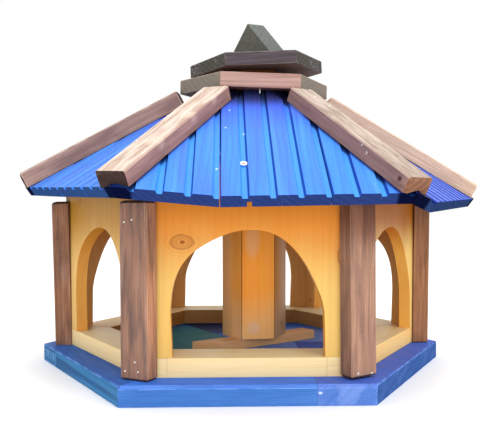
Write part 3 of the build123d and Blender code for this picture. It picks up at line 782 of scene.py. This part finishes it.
def lathe(name, at, normal, profile, mat, segments=20):
    """A turned head standing on a face: profile is (radius, height) from the rim to the axis."""
    bm = bmesh.new()
    m = frame_m(Vector(at), Vector(normal).orthogonal(), Vector(normal))
    rows = []
    for r, h in profile:
        if r == 0:
            rows.append([bm.verts.new(m @ Vector((0, 0, h)))])
        else:
            rows.append([bm.verts.new(m @ Vector((r * math.cos(2 * math.pi * k / segments), r * math.sin(2 * math.pi * k / segments), h))) for k in range(segments)])
    for a, b in zip(rows, rows[1:]):
        for k in range(segments):
            k2 = (k + 1) % segments
            if len(a) == 1:
                bm.faces.new((a[0], b[k], b[k2]))
            elif len(b) == 1:
                bm.faces.new((a[k], a[k2], b[0]))
            else:
                bm.faces.new((a[k], a[k2], b[k2], b[k]))
    bmesh.ops.recalc_face_normals(bm, faces=bm.faces)
    return finish_mesh(name, bm, mat, m)


def nail(name, at, normal, r=0.0013, mat=None):
    lathe(name, [c * MM for c in at], normal, [(0, -0.0012), (r * 0.8, -0.0012), (r, 0.0), (r * 0.9, 0.0005), (r * 0.5, 0.0008), (0, 0.0009)], mat or m_nail, 14)


FL_N, FR_N = (-0.22, -0.44, 0.87), (0.27, -0.43, 0.86)
for k, at in enumerate([(-110.0, -193.4, 258.9), (-91.0, -206.4, 257.2), (-82.5, -144.5, 290.4), (-59.6, -153.4, 291.7), (-30.8, -112.1, 319.7), (-47.9, -94.8, 324.1)]):
    nail(f"nail_ridge_left_{k}", at, FL_N, 0.0016)
for k, at in enumerate([(76.0, -82.8, 328.5), (79.4, -101.1, 318.3), (94.0, -116.3, 306.1), (146.3, -207.0, 244.2)]):
    nail(f"nail_ridge_right_{k}", at, FR_N, 0.0014, m_nail if k < 3 else m_nail_dull)
for k, at in enumerate([(-114.5, -197.4, 181.4), (-122.7, -192.7, 179.0), (-108.7, -200.4, 30.4), (-122.6, -192.4, 29.8), (-111.9, -198.6, 39.8)]):
    nail(f"nail_post_left_{k}", at, (-0.5, -0.866, 0), 0.0011)
for k, at in enumerate([(110.2, -201.7, 27.4), (126.0, -192.6, 25.9)]):
    nail(f"nail_post_right_{k}", at, (0.5, -0.866, 0), 0.0013)
screw_at, screw_n = Vector((-0.0041, -0.2042, 0.2357)), Vector((0.03, -0.55, 0.83))
lathe("screw_head", screw_at, screw_n, [(0, -0.002), (0.0016, -0.002), (0.0030, -0.0004), (0.0039, 0.0007), (0.0040, 0.0011), (0.0036, 0.0014), (0.0019, 0.0015), (0.0016, 0.0004), (0, 0.0002)], m_screw, 28)
lathe("screw_drive", screw_at, screw_n, [(0, 0.0001), (0.00150, 0.0001), (0.00150, 0.0008), (0.0009, 0.0009), (0, 0.0007)], m_rust, 16)
lathe("nail_plate", (0.0188, -0.0735, 0.3262), (0.05, 0.1, 1), [(0, 0), (0.0007, 0.0002), (0.0008, 0.001), (0.0008, 0.0085), (0, 0.0086)], m_nail, 12)

# ------------------------------------------------------------ floor, light, camera
bm = bmesh.new()
bmesh.ops.create_grid(bm, x_segments=1, y_segments=1, size=12)
me = bpy.data.meshes.new("studio_floor")
bm.to_mesh(me)
bm.free()
floor = bpy.data.objects.new("studio_floor", me)
floor.location = (0, 0, -0.0002)
scene.collection.objects.link(floor)
fm = bpy.data.materials.new("studio_white")
fm.use_nodes = True
fb = fm.node_tree.nodes["Principled BSDF"]
fb.inputs["Base Color"].default_value = (0.93, 0.93, 0.93, 1)
fb.inputs["Roughness"].default_value = 0.9
fb.inputs["Specular IOR Level"].default_value = 0.1
fb.inputs["Emission Color"].default_value = (1, 1, 1, 1)
fb.inputs["Emission Strength"].default_value = 0.1
me.materials.append(fm)

world = bpy.data.worlds.new("studio")
world.use_nodes = True
world.node_tree.nodes["Background"].inputs[0].default_value = (1, 1, 1, 1)
world.node_tree.nodes["Background"].inputs[1].default_value = 1.0
scene.world = world


def area(name, loc, target, size, power):
    d = bpy.data.lights.new(name, "AREA")
    d.shape = "RECTANGLE"
    d.size, d.size_y = size
    d.energy = power
    o = bpy.data.objects.new(name, d)
    o.location = loc
    o.rotation_euler = (Vector(target) - Vector(loc)).to_track_quat("-Z", "Y").to_euler()
    scene.collection.objects.link(o)
    return o


area("key", (0.9, -1.5, 2.0), (0, 0, 0.15), (1.4, 1.4), 20)
area("top", (0.1, 0.1, 2.4), (0, 0, 0.2), (1.6, 1.6), 22)
area("front", (-0.1, -2.2, 0.5), (0, 0, 0.15), (1.2, 0.8), 8)

cam_d = bpy.data.cameras.new("camera")
cam = bpy.data.objects.new("camera", cam_d)
yaw, pitch, roll = 0.0322, -0.0311, -0.0004
fwd = Vector((math.sin(yaw) * math.cos(pitch), math.cos(yaw) * math.cos(pitch), math.sin(pitch)))
right = Vector((math.cos(yaw), -math.sin(yaw), 0))
upv = right.cross(fwd)
cx = right * math.cos(roll) + upv * math.sin(roll)
cy = -right * math.sin(roll) + upv * math.cos(roll)
cam.matrix_world = Matrix((
    (cx.x, cy.x, -fwd.x, -0.02536), (cx.y, cy.y, -fwd.y, -0.8842), (cx.z, cy.z, -fwd.z, 0.1926), (0, 0, 0, 1),
))
cam_d.sensor_width = 36
cam_d.sensor_fit = "HORIZONTAL"
cam_d.lens = 692.5 / 500 * 36
cam_d.shift_x = (250 - 244.34) / 500
cam_d.shift_y = (229.74 - 216) / 500
cam_d.clip_start, cam_d.clip_end = 0.01, 50
scene.collection.objects.link(cam)
scene.camera = cam
